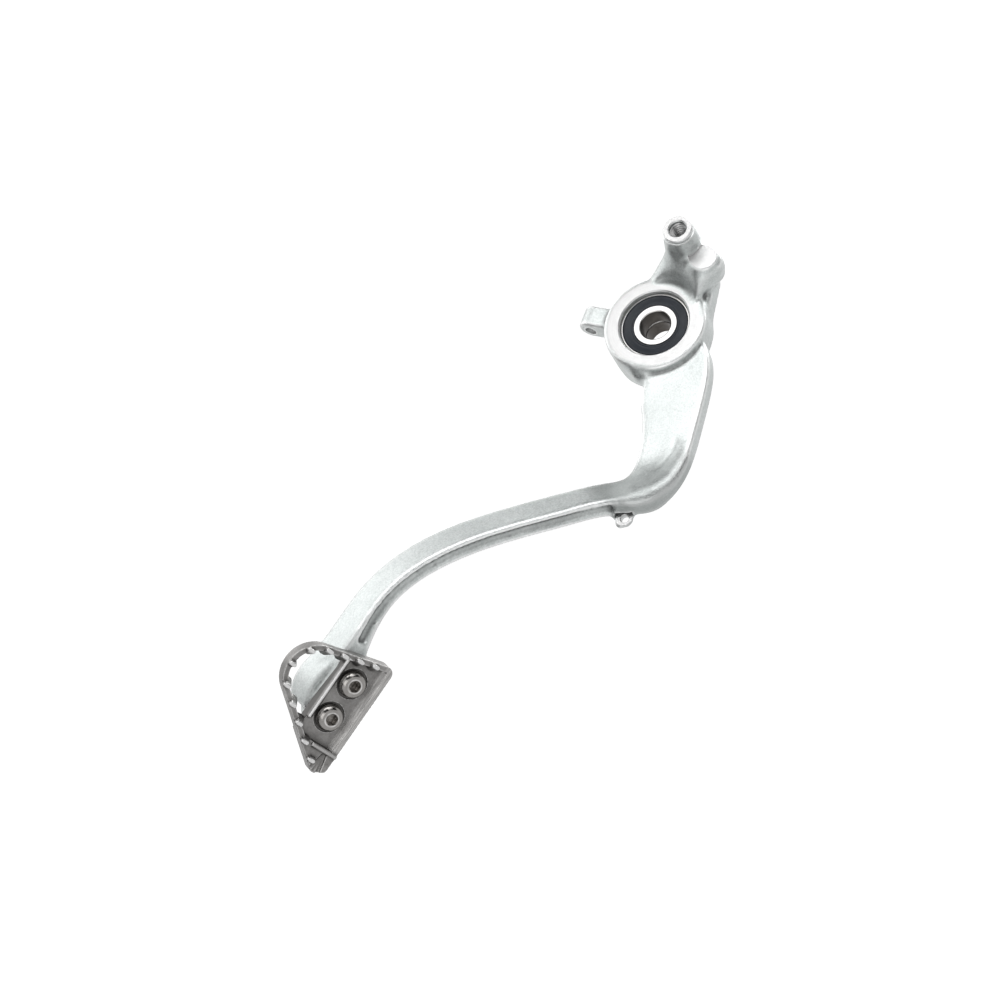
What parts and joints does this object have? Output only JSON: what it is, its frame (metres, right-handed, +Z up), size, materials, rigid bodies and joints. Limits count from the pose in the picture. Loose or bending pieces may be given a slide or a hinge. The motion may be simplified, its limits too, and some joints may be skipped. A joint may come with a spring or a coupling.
{
  "type": "rear brake pedal",
  "caption": "Forged aluminium rear brake pedal with a sealed ball bearing pivot, a bowed arm, a pushrod boss and a bolted serrated toe tread.",
  "frame": {"origin": "on the pivot axis, where the two bearings meet at the middle of the hub", "axes": "+X forward to the toe, +Y inboard along the pivot axis, +Z up; outboard is -Y, on the right-hand side of the machine"},
  "size_m": [0.2453, 0.0659, 0.0893],
  "materials": {
    "forged_aluminium": "fine blasted",
    "cast_steel": "satin investment cast",
    "bright_steel": "polished",
    "bearing_steel": "ground",
    "ball_steel": "polished",
    "cage_plastic": "moulded",
    "seal_rubber": "moulded satin"
  },
  "bodies": {
    "lever": {"pedal_lever": "forged_aluminium", "toe_piece": "cast_steel", "toe_screws": "bright_steel", "outboard_outer_ring": "bearing_steel", "inboard_outer_ring": "bearing_steel", "outboard_outer_seal": "seal_rubber", "outboard_inner_seal": "seal_rubber", "inboard_outer_seal": "seal_rubber", "inboard_inner_seal": "seal_rubber"},
    "outboard_inner": {"outboard_inner_ring": "bearing_steel"},
    "outboard_ball_set": {"outboard_balls": "ball_steel", "outboard_cage": "cage_plastic"},
    "inboard_inner": {"inboard_inner_ring": "bearing_steel"},
    "inboard_ball_set": {"inboard_balls": "ball_steel", "inboard_cage": "cage_plastic"}
  },
  "joints": [
    {"name": "outboard_inner_spin", "type": "hinge", "parent": "lever", "child": "outboard_inner", "pos_m": [0, -0.004, 0], "axis": [0, 1, 0], "continuous": true},
    {"name": "outboard_ball_set_spin", "type": "hinge", "parent": "lever", "child": "outboard_ball_set", "pos_m": [0, -0.004, 0], "axis": [0, 1, 0], "continuous": true},
    {"name": "inboard_inner_spin", "type": "hinge", "parent": "lever", "child": "inboard_inner", "pos_m": [0, 0.004, 0], "axis": [0, 1, 0], "continuous": true},
    {"name": "inboard_ball_set_spin", "type": "hinge", "parent": "lever", "child": "inboard_ball_set", "pos_m": [0, 0.004, 0], "axis": [0, 1, 0], "continuous": true}
  ],
  "couplings": [
    {"joint": "outboard_ball_set_spin", "follows": "outboard_inner_spin", "ratio": 0.381},
    {"joint": "inboard_ball_set_spin", "follows": "inboard_inner_spin", "ratio": 0.381}
  ]
}
